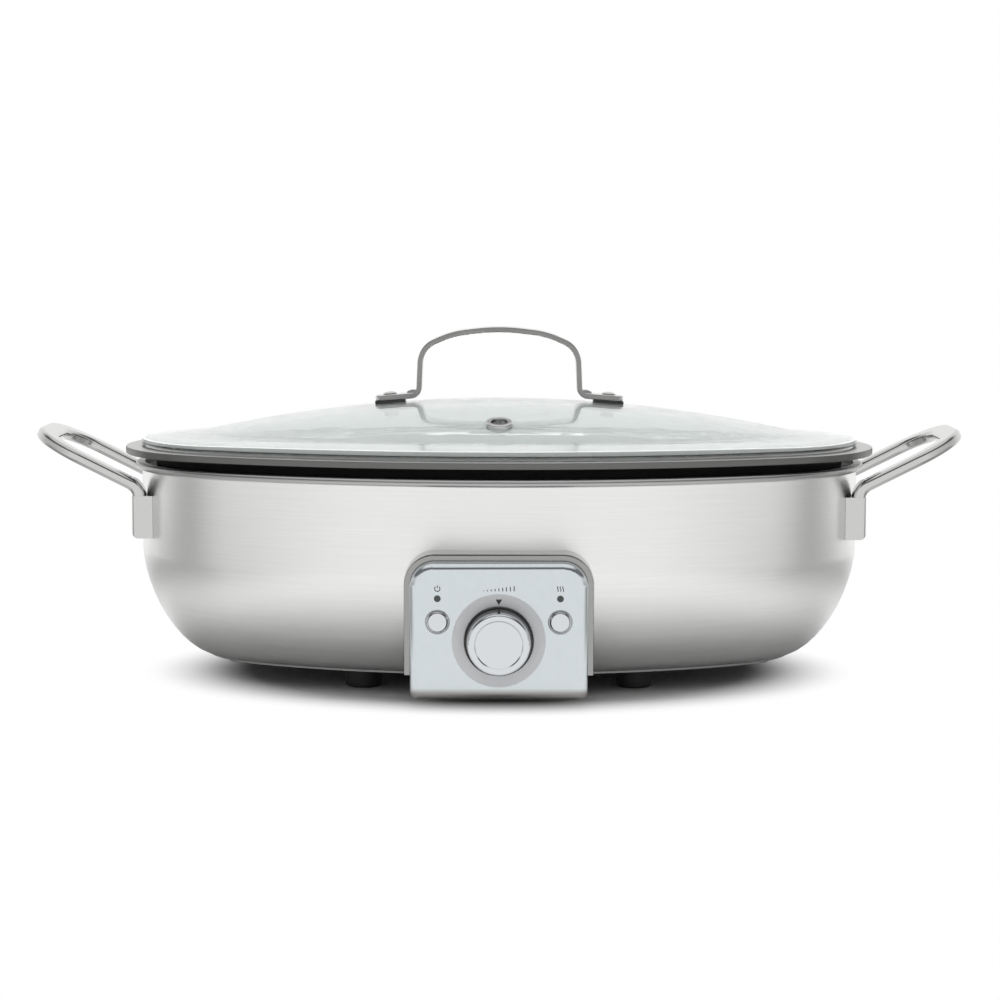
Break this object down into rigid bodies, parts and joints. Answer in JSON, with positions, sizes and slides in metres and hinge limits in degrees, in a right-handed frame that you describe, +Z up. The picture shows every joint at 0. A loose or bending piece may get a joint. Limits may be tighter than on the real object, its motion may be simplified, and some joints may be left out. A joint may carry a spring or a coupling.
{
  "type": "oval slow cooker",
  "caption": "Oval slow cooker: brushed steel housing with side handles, lift-out pan, domed glass lid with a steel handle, and a front control box with a knob and buttons.",
  "frame": {"origin": "on the table under the middle of the cooker's overall box; the housing's own middle is 19.5 mm behind it", "axes": "+X to the right along the cooker's length as seen from the front, -Y towards the user and the controls, +Z up"},
  "size_m": [0.531, 0.321, 0.1996],
  "materials": {
    "housing_steel": "horizontally brushed",
    "polished_steel": "polished stainless steel",
    "control_silver": "satin silver",
    "dial_silver": "matt silver",
    "knob_chrome": "polished",
    "black_plastic": "matt",
    "black_rubber": "matt",
    "lamp_lens": "clear grey-green lens",
    "lid_glass": "clear tempered glass",
    "pan_coating": "dark non-stick coating on cast aluminium",
    "cast_aluminium": "as cast",
    "bright_sheet": "aluminised sheet",
    "fastener_steel": "zinc plated",
    "element_sheath": "heat-darkened tube",
    "terminal_steel": "nickel plated",
    "ceramic": "unglazed ceramic",
    "circuit_board": "green solder mask"
  },
  "bodies": {
    "base": {"housing_shell": "housing_steel", "control_surround": "polished_steel", "left_handle": "polished_steel", "right_handle": "polished_steel", "handle_rivets": "polished_steel", "control_box": "control_silver", "dial_disc": "dial_silver", "button_switches": "black_plastic", "cord_gland": "black_plastic", "gland_nut": "black_plastic", "rubber_feet": "black_rubber", "wire_grommet": "black_rubber", "power_lamp": "lamp_lens", "sear_lamp": "lamp_lens", "heater_plate": "cast_aluminium", "heat_reflector": "bright_sheet", "bottom_cover": "bright_sheet", "sensor_bracket": "bright_sheet", "cover_screws": "fastener_steel", "foot_screws": "fastener_steel", "foot_nuts": "fastener_steel", "plate_studs": "fastener_steel", "stud_spacers": "fastener_steel", "stud_nuts": "fastener_steel", "board_screws": "fastener_steel", "box_screws": "fastener_steel", "handle_backing_plates": "fastener_steel", "heating_element": "element_sheath", "element_terminals": "terminal_steel", "sensor_probe": "terminal_steel", "temperature_control": "terminal_steel", "ceramic_beads": "ceramic", "thermal_fuse": "ceramic", "control_board": "circuit_board"},
    "knob": {"control_knob": "knob_chrome", "knob_skirt": "black_plastic", "knob_shaft": "fastener_steel"},
    "power_push": {"power_button": "knob_chrome"},
    "sear_push": {"sear_button": "knob_chrome"},
    "pan": {"cooking_pan": "pan_coating"},
    "lid": {"lid_glass": "lid_glass", "lid_handle": "polished_steel", "handle_gaskets": "black_rubber", "handle_screws": "polished_steel", "handle_washers": "black_rubber", "handle_nuts": "fastener_steel", "steam_vent": "polished_steel"}
  },
  "joints": [
    {"name": "knob_turn", "type": "hinge", "parent": "base", "child": "knob", "pos_m": [0, -0.1445, 0.0407], "axis": [0, 1, 0], "range_deg": [0, 270]},
    {"name": "power_press", "type": "slide", "parent": "base", "child": "power_push", "axis": [0, 1, 0], "range_m": [0, 0.0015], "stiffness_N_per_m": 300, "springref_m": -0.002},
    {"name": "sear_press", "type": "slide", "parent": "base", "child": "sear_push", "axis": [0, 1, 0], "range_m": [0, 0.0015], "stiffness_N_per_m": 300, "springref_m": -0.002},
    {"name": "pan_lift", "type": "slide", "parent": "base", "child": "pan", "axis": [0, 0, 1], "range_m": [0, 0.1]},
    {"name": "lid_lift", "type": "slide", "parent": "pan", "child": "lid", "axis": [0, 0, 1], "range_m": [0, 0.06]}
  ]
}
